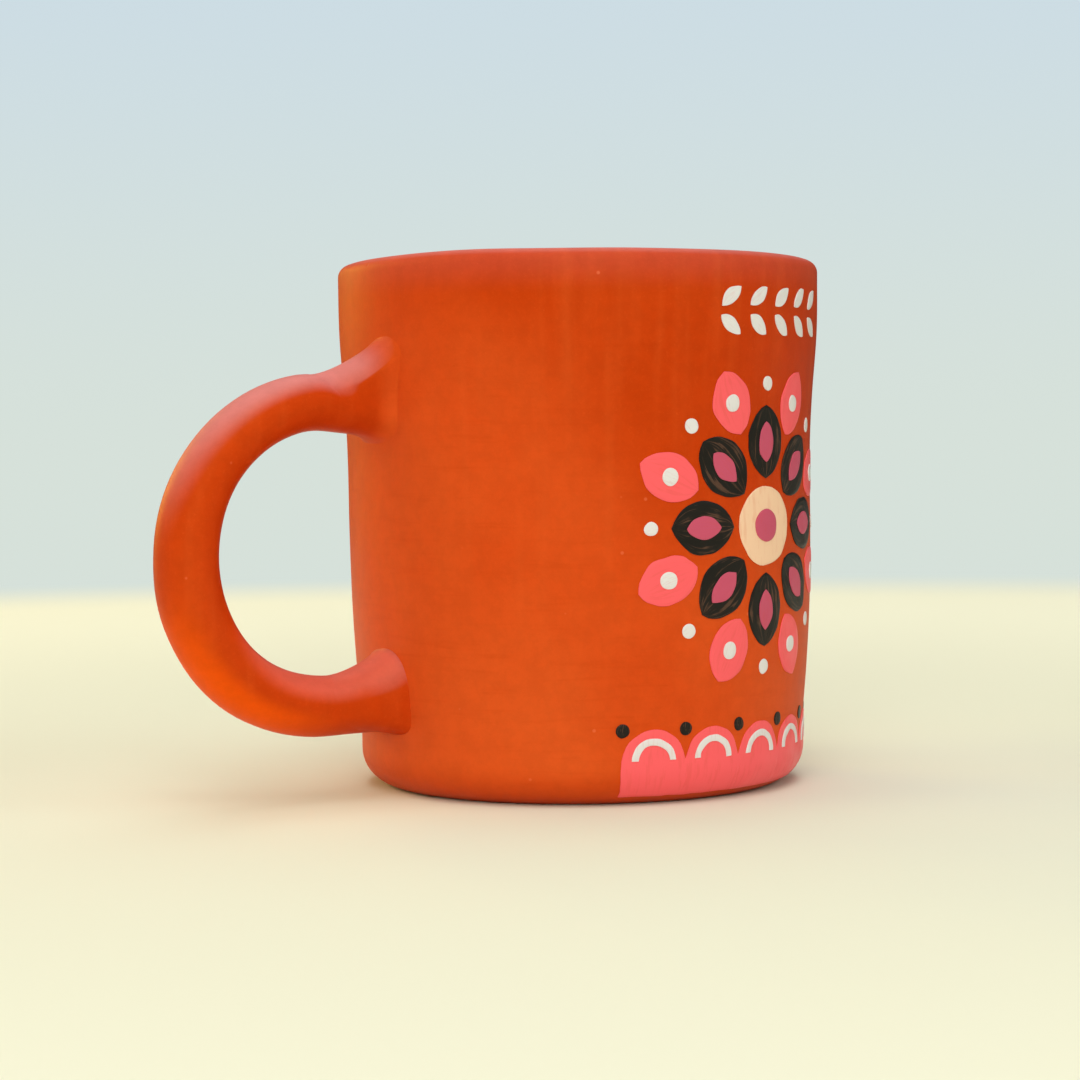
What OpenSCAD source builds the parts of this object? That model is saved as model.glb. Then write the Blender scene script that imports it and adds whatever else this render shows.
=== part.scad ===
// Hand-made clay mug: a thrown body, a bent handle luted on with slip, and a painted flower.
// The origin is on the cup's axis at table level, +Z is up and the handle points along -X.

/* [Cup] */
// Height from the table to the top of the rim
cup_height = 89; // [78:0.5:104]
// Outer diameter at the mouth, taken before the rim is rounded
mouth_d = 82.4; // [76:0.2:96]
// Outer diameter at the foot, taken before its edge is rounded
foot_d = 76; // [68:0.5:82]
// Thickness of the wall, square to its face
wall_t = 5; // [4:0.1:7]
// Thickness of the floor
floor_t = 6; // [4:0.1:9]
// Radius of the round edge of the foot
foot_round = 6.4; // [4:0.1:9]
// Radius of the rim's outer edge
rim_outer_round = 3.2; // [1.5:0.1:4]
// Radius of the rim's inner edge
rim_inner_round = 1.4; // [0.6:0.1:2]
// Radius of the corner between the inner wall and the floor
floor_round = 10; // [5:0.5:16]
// Diameter of the hollow turned into the underside
hollow_d = 50; // [30:1:56]
// Depth of the hollow turned into the underside
hollow_depth = 1.2; // [0.6:0.1:2]

/* [Handle] */
// Thickness of the handle from its inner to its outer face
handle_t = 9.6; // [7:0.1:12]
// Width of the handle across the hand
handle_w = 12; // [9:0.1:16]
// Room for the fingers between the wall and the bend
finger_gap = 29.6; // [24:0.2:40]
// Drop from the rim to the middle of the upper root
upper_root_drop = 23.3; // [20:0.1:28]
// Rise from the table to the middle of the lower root
lower_root_rise = 15.7; // [14:0.1:20]

/* [Slip joints] */
// Thickness of the slip between each end of the handle and the wall
slip_t = 0.6; // [0.3:0.1:1.2]
// Reach of the smoothed fillet at the upper root
upper_flare = 6; // [4:0.1:8]
// Reach of the pressed fillet at the lower root
lower_flare = 4.4; // [2.5:0.1:6]

/* [Painted flower] */
// Thickness of one coat of paint
coat_t = 0.2; // [0.1:0.05:0.4]
// Direction of the flower's centre, counted from the side across from the handle
flower_azimuth = -72; // [-120:1:0]
// Number of petals in each ring
petal_count = 8; // [6:1:9]
// Diameter of the peach disc in the middle
core_d = 13; // [9:0.5:16]
// Diameter of the rose spot on the peach disc
spot_d = 5.6; // [3:0.2:7]
// Bare clay between the peach disc and the black petals
core_gap = 1.2; // [0.5:0.1:3]
// Length of a black petal
black_petal_l = 12; // [10:0.5:13]
// Width of a black petal
black_petal_w = 8.8; // [6:0.2:9.4]
// Length of the rose inlay on a black petal
inlay_l = 6.6; // [4:0.2:8]
// Width of the rose inlay on a black petal
inlay_w = 3.8; // [2:0.2:4.6]
// Distance along the flower's radius from the middle of a black petal to the tip of a pink one
pink_offset = 2.4; // [1.6:0.1:5]
// Length of a pink petal
pink_petal_l = 11; // [9:0.5:12]
// Width of a pink petal
pink_petal_w = 7.8; // [5:0.2:8.6]
// Diameter of the white eye on a pink petal
eye_d = 2.8; // [1.6:0.1:4]
// Diameter of the white dots beyond the black petals
dot_d = 2.4; // [1.4:0.1:3.2]
// Bare clay between a black petal and the white dot beyond it
dot_gap = 2.2; // [1:0.1:5]

/* [Painted hem] */
// Height at which the hem starts above the table
hem_base_z = 1.6; // [1.2:0.1:3]
// Height of the hem's straight top, where the scallops begin
hem_top_z = 7.4; // [6:0.1:9]
// Number of scallops
scallop_count = 5; // [3:1:7]
// Spacing of the scallops along the wall
scallop_pitch = 10.8; // [9:0.2:12]
// Notch between neighbouring scallops
scallop_gap = 0.6; // [0.3:0.1:1.5]
// Width of the white line inside each scallop
hem_line_w = 1.1; // [0.6:0.1:1.8]
// Distance of the white line from the scallop's edge
hem_line_inset = 1.4; // [0.8:0.1:2]
// Diameter of the black dots above the notches
hem_dot_d = 2.2; // [1.2:0.1:3]

/* [Painted sprig] */
// Drop from the rim to the middle of the sprig
sprig_drop = 9.5; // [8:0.5:12]
// Number of leaf pairs
leaf_pairs = 5; // [3:1:7]
// Spacing of the leaf pairs along the wall
leaf_pitch = 6.2; // [5.6:0.2:8]
// Length of a leaf
leaf_l = 5; // [3.5:0.1:5.4]
// Width of a leaf
leaf_w = 2.4; // [1.4:0.1:3]
// Lean of a leaf from the line of the sprig
leaf_lean = 38; // [30:1:55]

/* [Hidden] */
$fn = 256;

clay_colour = "#d0501f";
slip_colour = "#c64a1c";
black_paint = "#28231a";
peach_paint = "#eec8a5";
pink_paint = "#fb5f66";
rose_paint = "#c85569";
white_paint = "#ebe6e1";

// Largest share of the wall that each edge of the rim may take
rim_outer_limit_share = 0.66;
rim_inner_limit_share = 0.3;
// Reach of the fillets below, beside and above the handle, as shares of the flare
upper_flare_shares = [0.5, 0.55, 1];
lower_flare_shares = [0.25, 0.6, 1];
// Height of the black dots above the notches, as a share of the scallop spacing
hem_dot_rise_share = 0.46;
// Depth at which the thin edge of a fillet starts under the clay
feather = 0.12;
// Sides and steps of the fillet surfaces
fillet_sides = 40;
fillet_steps = 7;
degrees_per_radian = 180 / PI;

foot_r = foot_d / 2;
mouth_r = mouth_d / 2;
taper = atan((mouth_r - foot_r) / cup_height);
rim_outer_r = min(rim_outer_round, rim_outer_limit_share * wall_t);
rim_inner_r = min(rim_inner_round, rim_inner_limit_share * wall_t);
hollow_r = hollow_d / 2;
overrun = wall_t;

upper_root_z = cup_height - upper_root_drop;
lower_root_z = lower_root_rise;
bend_r = (upper_root_z - lower_root_z) / 2;
bend_z = (upper_root_z + lower_root_z) / 2;
bend_x = wall_r(bend_z) + finger_gap + handle_t / 2 - bend_r;
lobe_d = min(handle_t, handle_w);

core_r = core_d / 2;
// Distances from the flower's centre to the middles of the petals and dots
black_r = core_r + core_gap + black_petal_l / 2;
pink_r = black_r + pink_offset + pink_petal_l / 2;
dot_r = black_r + black_petal_l / 2 + dot_gap + dot_d / 2;
petal_step = 360 / petal_count;
scallop_d = scallop_pitch - scallop_gap;
hem_half_l = scallop_count * scallop_pitch / 2;
hem_dot_z = hem_top_z + hem_dot_rise_share * scallop_pitch;
sprig_z = cup_height - sprig_drop;
sprig_reach = (leaf_l + leaf_w / 2) * sin(leaf_lean);
// The flower sits halfway between the top of the hem and the bottom of the sprig
flower_z = (hem_dot_z + hem_dot_d / 2 + sprig_z - sprig_reach) / 2;

// Radius of the wall's straight face at height z, moved outwards by grow
function wall_r(z, grow = 0) = foot_r + z * tan(taper) + grow / cos(taper);

// Angle that a length along the wall takes up at height z
function wall_angle(u, z) = u / wall_r(z) * degrees_per_radian;

// Centre of a round of radius r that touches the face moved by grow, at height z
function round_centre(z, r, grow = 0) = [wall_r(z, grow - r), z];

// Point where a round about c meets the slanting face
function on_face(c, r) = c + r * [cos(taper), -sin(taper)];

// The outside of the cup, filled, with its surface moved outwards by grow
module outer_outline(grow = 0) {
    foot_c = round_centre(foot_round, foot_round);
    rim_c = round_centre(cup_height - rim_outer_r, rim_outer_r);
    polygon([
        [0, -grow],
        [foot_c[0], -grow],
        on_face(foot_c, foot_round + grow),
        on_face(rim_c, rim_outer_r + grow),
        [rim_c[0], cup_height + grow],
        [0, cup_height + grow]
    ]);
    translate(foot_c) circle(foot_round + grow);
    translate(rim_c) circle(rim_outer_r + grow);
}

// The room inside the cup, opened out round the inner edge of the rim
module cavity_outline() {
    corner_c = round_centre(floor_t + floor_round, floor_round, -wall_t);
    lip_c = round_centre(cup_height - rim_inner_r, -rim_inner_r, -wall_t);
    polygon([
        [0, floor_t],
        [corner_c[0], floor_t],
        on_face(corner_c, floor_round),
        on_face(lip_c, -rim_inner_r),
        [wall_r(cup_height + overrun, -wall_t), cup_height + overrun],
        [0, cup_height + overrun]
    ]);
    translate(corner_c) circle(floor_round);
    difference() {
        polygon([
            on_face(lip_c, -rim_inner_r),
            lip_c,
            [lip_c[0], cup_height + overrun],
            [wall_r(cup_height + overrun, -wall_t), cup_height + overrun]
        ]);
        translate(lip_c) circle(rim_inner_r);
    }
}

// The hollow under the foot, with a sloping edge
module hollow_outline() {
    polygon([
        [0, -overrun],
        [hollow_r, -overrun],
        [hollow_r, 0],
        [hollow_r - hollow_depth, hollow_depth],
        [0, hollow_depth]
    ]);
}

module cup_body() {
    color(clay_colour)
        rotate_extrude()
            difference() {
                outer_outline();
                cavity_outline();
                hollow_outline();
            }
}

// The handle's oval section: thickness along X, width along Y
module handle_section() {
    for (side = [-1, 1])
        translate(side * [handle_t - lobe_d, handle_w - lobe_d] / 2)
            circle(d = lobe_d);
    if (handle_w > handle_t)
        square([handle_t, handle_w - handle_t], center = true);
    if (handle_t > handle_w)
        square([handle_t - handle_w, handle_w], center = true);
}

// A straight run from the bend into the wall at height z
module handle_run(z) {
    translate([-bend_x, 0, z])
        rotate([0, 90, 0])
            linear_extrude(bend_x)
                handle_section();
}

// The bend and its two runs, before the ends are cut to the wall
module handle_blank() {
    translate([-bend_x, 0, bend_z])
        rotate([90, 0, 0])
            rotate([0, 0, 90])
                rotate_extrude(angle = 180)
                    translate([bend_r, 0])
                        handle_section();
    handle_run(upper_root_z);
    handle_run(lower_root_z);
}

module cut_handle() {
    difference() {
        handle_blank();
        rotate_extrude() outer_outline(slip_t);
    }
}

module handle() {
    color(clay_colour) cut_handle();
}

// Point of the handle's section, moved outwards by grow, where its surface faces angle a from +Y to +Z
function section_point(a, grow = 0) = [
    sign(cos(a)) * (handle_w - lobe_d) / 2 + (lobe_d / 2 + grow) * cos(a),
    sign(sin(a)) * (handle_t - lobe_d) / 2 + (lobe_d / 2 + grow) * sin(a)
];

// Reach of a fillet at angle a round the handle
function fillet_reach(a, flare, shares) =
    flare * (shares[1] + (shares[sin(a) > 0 ? 2 : 0] - shares[1]) * pow(sin(a), 2));

// Point on the wall's face, moved by grow, behind the place yz of the root at height z
function root_on_wall(yz, z, grow = 0) =
    [-sqrt(pow(wall_r(z + yz[1], grow), 2) - pow(yz[0], 2)), yz[0], z + yz[1]];

// Point t of the way along the fillet's hollow curve at angle a
function fillet_point(t, a, z, flare, shares) =
    let (
        reach = fillet_reach(a, flare, shares),
        corner = root_on_wall(section_point(a, -feather), z),
        start = corner - [reach, 0, 0],
        end = root_on_wall(section_point(a, reach), z, -feather)
    )
    pow(1 - t, 2) * start + 2 * t * (1 - t) * corner + pow(t, 2) * end;

// A closed trumpet from inside the handle, out along the fillet, to inside the wall
module trumpet(z, flare, shares) {
    rings = fillet_steps + 2;
    angles = [for (j = [0 : fillet_sides - 1]) j * 360 / fillet_sides];
    skin = [
        for (i = [0 : fillet_steps], a = angles)
            fillet_point(i / fillet_steps, a, z, flare, shares)
    ];
    back = [
        for (a = angles)
            root_on_wall(section_point(a, fillet_reach(a, flare, shares)), z, -wall_t / 2)
    ];
    function id(i, j) = i * fillet_sides + j % fillet_sides;
    polyhedron(
        points = concat(skin, back, [
            [-wall_r(z) - flare, 0, z],
            [-wall_r(z, -wall_t / 2), 0, z]
        ]),
        faces = [
            for (i = [0 : rings - 2], j = [0 : fillet_sides - 1])
                each [
                    [id(i, j), id(i + 1, j + 1), id(i, j + 1)],
                    [id(i, j), id(i + 1, j), id(i + 1, j + 1)]
                ],
            for (j = [0 : fillet_sides - 1])
                each [
                    [rings * fillet_sides, id(0, j), id(0, j + 1)],
                    [rings * fillet_sides + 1, id(rings - 1, j + 1), id(rings - 1, j)]
                ]
        ]
    );
}

// The slip under a handle end, with the fillet squeezed out around it
module slip_joint(z, flare, shares) {
    color(slip_colour)
        difference() {
            trumpet(z, flare, shares);
            cut_handle();
            rotate_extrude() outer_outline();
        }
}

module upper_slip_joint() {
    slip_joint(upper_root_z, upper_flare, upper_flare_shares);
}

module lower_slip_joint() {
    slip_joint(lower_root_z, lower_flare, lower_flare_shares);
}

// A coat of paint over the whole outside: coat 1 lies on the clay, coat 2 on coat 1
module paint_coat(coat) {
    rotate_extrude()
        difference() {
            outer_outline(coat * coat_t);
            outer_outline((coat - 1) * coat_t);
        }
}

// The part of a coat that lies in the shapes placed by the children
module painted(paint, coat) {
    color(paint)
        intersection() {
            paint_coat(coat);
            union() children();
        }
}

// A flat shape laid on the wall, u along it from the flower's middle line and z up
module on_wall(u, z) {
    rotate([0, 0, flower_azimuth + wall_angle(u, z)])
        translate([wall_r(z, -wall_t), 0, z])
            rotate([90, 0, 90])
                linear_extrude(2 * wall_t)
                    children();
}

// A flat shape laid on the wall at radius r and angle a about the flower's centre, its Y pointing outwards
module in_flower(r, a) {
    on_wall(r * cos(a), flower_z + r * sin(a))
        rotate([0, 0, a - 90])
            children();
}

// A petal pointed at both ends, centred, with its length along Y
module petal(l, w) {
    side_r = (pow(l, 2) + pow(w, 2)) / (4 * w);
    intersection() {
        translate([w / 2 - side_r, 0]) circle(side_r);
        translate([side_r - w / 2, 0]) circle(side_r);
    }
}

module peach_core() {
    painted(peach_paint, 1) on_wall(0, flower_z) circle(d = core_d);
}

module rose_spot() {
    painted(rose_paint, 2) on_wall(0, flower_z) circle(d = spot_d);
}

module black_petals() {
    painted(black_paint, 1)
        for (k = [0 : petal_count - 1])
            in_flower(black_r, 90 + k * petal_step)
                petal(black_petal_l, black_petal_w);
}

module rose_inlays() {
    painted(rose_paint, 2)
        for (k = [0 : petal_count - 1])
            in_flower(black_r, 90 + k * petal_step)
                petal(inlay_l, inlay_w);
}

module pink_petals() {
    painted(pink_paint, 1)
        for (k = [0 : petal_count - 1])
            in_flower(pink_r, 90 + (k + 0.5) * petal_step)
                petal(pink_petal_l, pink_petal_w);
}

module white_eyes() {
    painted(white_paint, 2)
        for (k = [0 : petal_count - 1])
            in_flower(pink_r, 90 + (k + 0.5) * petal_step)
                circle(d = eye_d);
}

module white_dots() {
    painted(white_paint, 1)
        for (k = [0 : petal_count - 1])
            in_flower(dot_r, 90 + k * petal_step)
                circle(d = dot_d);
}

// Place along the wall of scallop k, counted from the left
function scallop_u(k) = (k - (scallop_count - 1) / 2) * scallop_pitch;

module pink_hem() {
    hem_angle = wall_angle(2 * hem_half_l, hem_top_z);
    painted(pink_paint, 1) {
        rotate([0, 0, flower_azimuth - hem_angle / 2])
            rotate_extrude(angle = hem_angle)
                translate([foot_r - foot_round, hem_base_z])
                    square([foot_round + overrun, hem_top_z - hem_base_z]);
        for (k = [0 : scallop_count - 1])
            on_wall(scallop_u(k), hem_top_z)
                circle(d = scallop_d);
    }
}

module hem_lines() {
    line_r = scallop_d / 2 - hem_line_inset;
    painted(white_paint, 2)
        for (k = [0 : scallop_count - 1])
            on_wall(scallop_u(k), hem_top_z)
                difference() {
                    circle(line_r);
                    circle(line_r - hem_line_w);
                    translate([-scallop_d / 2, -scallop_d])
                        square(scallop_d);
                }
}

module hem_dots() {
    painted(black_paint, 1)
        for (k = [0 : scallop_count])
            on_wall(scallop_u(k) - scallop_pitch / 2, hem_dot_z)
                circle(d = hem_dot_d);
}

module white_sprig() {
    painted(white_paint, 1)
        for (k = [0 : leaf_pairs - 1], side = [-1, 1])
            on_wall((k - (leaf_pairs - 1) / 2) * leaf_pitch, sprig_z)
                rotate([0, 0, -90 + side * leaf_lean])
                    translate([0, (leaf_l + leaf_w) / 2])
                        petal(leaf_l, leaf_w);
}

cup_body();
handle();
upper_slip_joint();
lower_slip_joint();
peach_core();
rose_spot();
black_petals();
rose_inlays();
pink_petals();
white_eyes();
white_dots();
pink_hem();
hem_lines();
hem_dots();
white_sprig();
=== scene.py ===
import math
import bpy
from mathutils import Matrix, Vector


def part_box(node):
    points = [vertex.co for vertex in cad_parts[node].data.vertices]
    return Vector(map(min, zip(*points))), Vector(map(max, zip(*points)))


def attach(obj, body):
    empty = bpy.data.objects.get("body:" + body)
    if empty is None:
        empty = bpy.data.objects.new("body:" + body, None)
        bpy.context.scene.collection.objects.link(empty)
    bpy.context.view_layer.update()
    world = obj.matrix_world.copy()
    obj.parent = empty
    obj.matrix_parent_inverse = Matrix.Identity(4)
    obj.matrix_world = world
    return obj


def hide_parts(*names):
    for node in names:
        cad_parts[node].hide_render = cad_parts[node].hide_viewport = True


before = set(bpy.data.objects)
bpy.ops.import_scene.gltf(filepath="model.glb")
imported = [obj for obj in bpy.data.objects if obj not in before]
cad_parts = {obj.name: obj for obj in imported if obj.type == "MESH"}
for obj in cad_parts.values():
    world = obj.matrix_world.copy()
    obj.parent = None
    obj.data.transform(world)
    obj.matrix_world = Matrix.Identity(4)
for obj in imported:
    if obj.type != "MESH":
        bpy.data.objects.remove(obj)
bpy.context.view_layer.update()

from types import SimpleNamespace

import bmesh
import bpy
from bpy.props import FloatProperty, FloatVectorProperty, IntProperty, PointerProperty
from bpy.types import Operator, Panel, PropertyGroup
from mathutils import Matrix, Vector
from mathutils.bvhtree import BVHTree

bl_info = {
    "name": "Clay Mug",
    "version": (1, 0, 0),
    "blender": (4, 5, 0),
    "location": "View3D > Sidebar > Clay Mug",
    "description": "Throws, joins, paints and stages a hand-made clay mug",
    "category": "Add Mesh",
}

MM = 0.001
BODY = "root"
UP = Vector((0, 0, 1))

CUP_LOW, CUP_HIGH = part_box("cup_body")
HANDLE_LOW, HANDLE_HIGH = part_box("handle")
CORE_LOW, CORE_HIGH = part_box("peach_core")
CORE_MIDDLE = (CORE_LOW + CORE_HIGH) / 2
SPRIG_LOW, SPRIG_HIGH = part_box("white_sprig")


def length(name, description, millimetres):
    """A length that the user can change, given here in millimetres."""
    return FloatProperty(
        name=name, description=description, default=millimetres * MM, unit="LENGTH", precision=5
    )


def rotation(name, description, degrees):
    """An angle that the user can change, given here in degrees."""
    return FloatProperty(
        name=name, description=description, default=math.radians(degrees), unit="ROTATION"
    )


def count(name, description, default, least):
    """A whole number that the user can change."""
    return IntProperty(name=name, description=description, default=default, min=least)


def colour(name, description, default):
    """A colour that the user can change."""
    return FloatVectorProperty(
        name=name, description=description, default=default, subtype="COLOR", size=3, min=0, max=1
    )


class CupSizes(PropertyGroup):
    """Sizes of the thrown cup."""

    height: length("Height", "Table to the top of the rim", CUP_HIGH.z / MM)
    mouth_r: length("Mouth radius", "Outer radius of the wall's line at the mouth", 41.2)
    foot_r: length("Foot radius", "Outer radius of the wall's line at the table", 38)
    wall: length("Wall", "Thickness of the wall", 5)
    floor: length("Floor", "Thickness of the floor", 6)
    foot_round: length("Foot round", "Radius of the foot's edge", 6.4)
    rim_outer: length("Outer rim round", "Radius of the rim's outer edge", 2.2)
    rim_inner: length("Inner rim round", "Radius of the rim's inner edge", 1.4)
    floor_round: length("Floor round", "Radius between the inner wall and the floor", 10)
    hollow_r: length("Hollow radius", "Radius of the hollow turned under the foot", 25)
    hollow_depth: length("Hollow depth", "Depth of the hollow turned under the foot", 1.2)
    waver: length("Waver", "Unevenness that the potter's hands leave", 0.5)
    sides: count("Sides", "Facets round the cup", 192, 24)


class HandleSizes(PropertyGroup):
    """Sizes of the pulled handle."""

    thick: length("Thickness", "Inner to outer face", 9.6)
    wide: length("Width", "Across the hand", (HANDLE_HIGH.y - HANDLE_LOW.y) / MM)
    droop: length("Droop", "Fall of the upper end towards the wall", 2)
    end_taper: FloatProperty(
        name="End taper",
        description="Share of the thickness left at the upper end",
        default=0.9,
        subtype="FACTOR",
    )
    upper_flare: length("Upper flare", "Reach of the smoothed clay above the upper root", 6.1)
    lower_flare: length("Lower flare", "Reach of the pressed clay above the lower root", 4.1)
    slip_edge: length("Slip edge", "Step of the pressed clay above the wall", 0.15)


class PaintSizes(PropertyGroup):
    """Sizes of the painted flower, hem and sprig."""

    coat: length("Coat", "Thickness of one coat of paint", 0.14)
    wobble: length("Wobble", "Unsteadiness of the brush along an edge", 0.5)
    petals: count("Petals", "Petals in each ring", 8, 3)
    core_d: length("Core", "Diameter of the peach disc", 13)
    spot_d: length("Spot", "Diameter of the rose spot", 5.6)
    core_gap: length("Core gap", "Bare clay round the peach disc", 1.2)
    black_l: length("Black petal length", "Length of a black petal", 12)
    black_w: length("Black petal width", "Width of a black petal", 8.8)
    inlay_l: length("Inlay length", "Length of the rose stroke on a black petal", 6.6)
    inlay_w: length("Inlay width", "Width of the rose stroke on a black petal", 3.8)
    pink_offset: length("Pink offset", "Middle of a black petal to the tip of a pink one", 2.4)
    pink_l: length("Pink petal length", "Length of a pink petal", 11)
    pink_w: length("Pink petal width", "Width of a pink petal", 7.8)
    eye_d: length("Eye", "Diameter of the white eye on a pink petal", 2.8)
    dot_d: length("Dot", "Diameter of the white dots beyond the black petals", 2.4)
    dot_gap: length("Dot gap", "Bare clay between a black petal and its dot", 2.2)
    hem_base: length("Hem base", "Height at which the hem starts", 1.6)
    hem_top: length("Hem top", "Height at which the scallops begin", 7.4)
    scallops: count("Scallops", "Scallops along the hem", 5, 1)
    scallop_pitch: length("Scallop pitch", "Spacing of the scallops", 10.8)
    scallop_gap: length("Scallop gap", "Notch between two scallops", 0.6)
    line_w: length("Line width", "Width of the white line in a scallop", 1.1)
    line_inset: length("Line inset", "Scallop's edge to the white line", 1.4)
    hem_dot_d: length("Hem dot", "Diameter of the black dots above the notches", 2.2)
    hem_dot_rise: length("Hem dot rise", "Start of the scallops to the black dots", 4.97)
    leaf_pairs: count("Leaf pairs", "Pairs of leaves on the sprig", 5, 1)
    leaf_pitch: length("Leaf pitch", "Spacing of the leaf pairs", 6.2)
    leaf_l: length("Leaf length", "Length of a leaf", 5)
    leaf_w: length("Leaf width", "Width of a leaf", 2.4)
    leaf_lean: rotation("Leaf lean", "Turn of a leaf from the sprig's line", 38)


class Finishes(PropertyGroup):
    """Colours of the clay and the paints."""

    clay: colour("Clay", "Fired clay", (0.640, 0.066, 0.008))
    # The dark clay colour serves both the clay's own darker patches, rings and grains and the painted
    # shade on the upper wall, the handle, the joints and the foot.
    clay_dark: colour("Dark clay", "Fired clay where it is denser", (0.513, 0.037, 0.001))
    # The light clay colour serves both the clay's own lighter patches and the painted light low on the
    # wall.
    clay_light: colour("Light clay", "Fired clay where it is dry or worn", (0.710, 0.100, 0.016))
    # Painted sheen: this pale pink, laid on faces that look up, stands in for the bright sky's reflection
    # on the clay.
    painted_sheen: colour("Bloom", "Pale bloom on faces that look up", (0.640, 0.195, 0.174))
    # Painted light: this bright orange, laid low on the handle, stands in for light that reaches it from
    # the floor and from above.
    painted_bounce: colour("Raw clay", "Unrubbed clay under the handle", (0.860, 0.090, 0.002))
    speck: colour("Speck", "Pale grains in the clay", (0.820, 0.200, 0.080))
    black: colour("Black paint", "Black paint", (0.010, 0.008, 0.005))
    black_thin: colour("Thin black paint", "Black paint where the brush ran dry", (0.105, 0.050, 0.028))
    peach: colour("Peach paint", "Peach paint", (0.900, 0.590, 0.370))
    pink: colour("Pink paint", "Coral pink paint", (0.950, 0.118, 0.124))
    rose: colour("Rose paint", "Deep rose paint", (0.560, 0.082, 0.140))
    white: colour("White paint", "White paint", (0.760, 0.735, 0.695))


class StageSettings(PropertyGroup):
    """Camera, lights, floor and backdrop."""

    camera_turn: rotation("Camera turn", "Direction of the camera round the mug", -32)
    camera_distance: length("Camera distance", "Cup's axis to the camera, along the floor", 472.5)
    camera_height: length("Camera height", "Floor to the camera", 60.9)
    camera_yaw: rotation("Camera yaw", "Turn away from the cup's axis", 0.81)
    camera_pitch: rotation("Camera pitch", "Tilt below the horizon", 2.35)
    camera_roll: rotation("Camera roll", "Lean of the camera", 0.6)
    lens: FloatProperty(
        name="Lens", description="Focal length in millimetres on a 36 mm sensor", default=91.17
    )
    floor: colour("Floor", "Pale floor", (0.800, 0.810, 0.640))
    floor_far: colour("Far floor", "Pale floor far from the mug", (0.960, 0.970, 0.765))
    backdrop: colour("Backdrop", "Pale backdrop near the horizon", (0.675, 0.752, 0.700))
    backdrop_top: colour("Upper backdrop", "Pale backdrop higher up", (0.600, 0.715, 0.785))


# Making and shaping meshes

def only(piece):
    """Makes a piece the one that operators act on."""
    bpy.ops.object.select_all(action="DESELECT")
    piece.select_set(True)
    bpy.context.view_layer.objects.active = piece


def edit(piece, kind="VERT"):
    """Opens a piece for shaping, with nothing picked."""
    only(piece)
    bpy.ops.object.mode_set(mode="EDIT")
    bpy.ops.mesh.select_mode(type=kind)
    bpy.ops.mesh.select_all(action="DESELECT")


def close():
    bpy.ops.object.mode_set(mode="OBJECT")


def pick_all():
    bpy.ops.mesh.select_all(action="SELECT")


def pick_verts(piece, wanted):
    """Picks the points of an open piece whose place is wanted."""
    bpy.ops.mesh.select_mode(type="VERT")
    shape = bmesh.from_edit_mesh(piece.data)
    for vert in shape.verts:
        vert.select = wanted(vert.co)
    shape.select_flush_mode()
    bmesh.update_edit_mesh(piece.data)


def pick_edges(piece, wanted):
    """Picks the edges of an open piece with both ends at wanted places."""
    bpy.ops.mesh.select_mode(type="EDGE")
    shape = bmesh.from_edit_mesh(piece.data)
    for edge in shape.edges:
        edge.select = all(wanted(vert.co) for vert in edge.verts)
    bmesh.update_edit_mesh(piece.data)


def pick_faces(piece, wanted):
    """Picks the faces of an open piece whose middle and normal are wanted."""
    bpy.ops.mesh.select_mode(type="FACE")
    shape = bmesh.from_edit_mesh(piece.data)
    for face in shape.faces:
        face.select = wanted(face.calc_center_median(), face.normal)
    bmesh.update_edit_mesh(piece.data)


def easing(reach):
    """Settings with which a move also takes along the neighbours, less and less with distance."""
    return {
        "use_proportional_edit": True,
        "proportional_edit_falloff": "SMOOTH",
        "proportional_size": reach,
        "use_proportional_connected": True,
    }


def radius(place):
    return math.hypot(place.x, place.y)


def near(a, b, slack=0.01 * MM):
    return abs(a - b) < slack


def named(name):
    """Names the piece that was just added."""
    piece = bpy.context.object
    piece.name = name
    piece.data.name = name
    return piece


def place_in_mesh(piece):
    only(piece)
    bpy.ops.object.transform_apply(location=True, rotation=True, scale=True)


def set_all(thing, settings):
    for name, value in settings.items():
        setattr(thing, name, value)


def modify(piece, name, kind, **settings):
    """Adds a modifier with its settings and applies it."""
    set_all(piece.modifiers.new(name, kind), settings)
    only(piece)
    bpy.ops.object.modifier_apply(modifier=name)


def uneven(piece, name, size, strength, group="", every_way=False):
    """Gives a surface the slow unevenness of hand work, in and out or every way."""
    clouds = bpy.data.textures.new(piece.name + "_" + name, "CLOUDS")
    clouds.cloud_type = "COLOR" if every_way else "GRAYSCALE"
    clouds.noise_scale = size
    clouds.noise_depth = 1
    way = "RGB_TO_XYZ" if every_way else "NORMAL"
    modify(
        piece, name, "DISPLACE", texture=clouds, texture_coords="LOCAL", direction=way,
        strength=strength, mid_level=0.5, vertex_group=group,
    )


def smooth(piece, sharpest=math.pi):
    """Shades a piece smooth, except over edges that turn by more than an angle."""
    only(piece)
    if sharpest < math.pi:
        bpy.ops.object.shade_smooth_by_angle(angle=sharpest)
    else:
        bpy.ops.object.shade_smooth()


def finish_piece(piece, material, node):
    """Dresses a piece, ties it to the cup and lets it stand for its solid."""
    piece.data.materials.append(material)
    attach(piece, BODY)
    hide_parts(node)


# Materials

def set_inputs(tree, node, values):
    """Sets a shader node's inputs; a value that is itself a socket is linked."""
    for socket, value in values.items():
        if isinstance(value, bpy.types.NodeSocket):
            tree.links.new(value, node.inputs[socket])
        else:
            node.inputs[socket].default_value = value


def add_node(tree, kind, values=None, **settings):
    """Adds a shader node with its settings and inputs."""
    made = tree.nodes.new("ShaderNode" + kind)
    set_all(made, settings)
    set_inputs(tree, made, values or {})
    return made


def opaque(rgb):
    return (rgb[0], rgb[1], rgb[2], 1.0)


def blend(tree, factor, first, second, kind="MIX"):
    """Mixes two colours, or joins them in another way."""
    mixer = add_node(
        tree, "Mix", {0: factor, 6: first, 7: second}, data_type="RGBA", blend_type=kind
    )
    return mixer.outputs[2]


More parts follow.
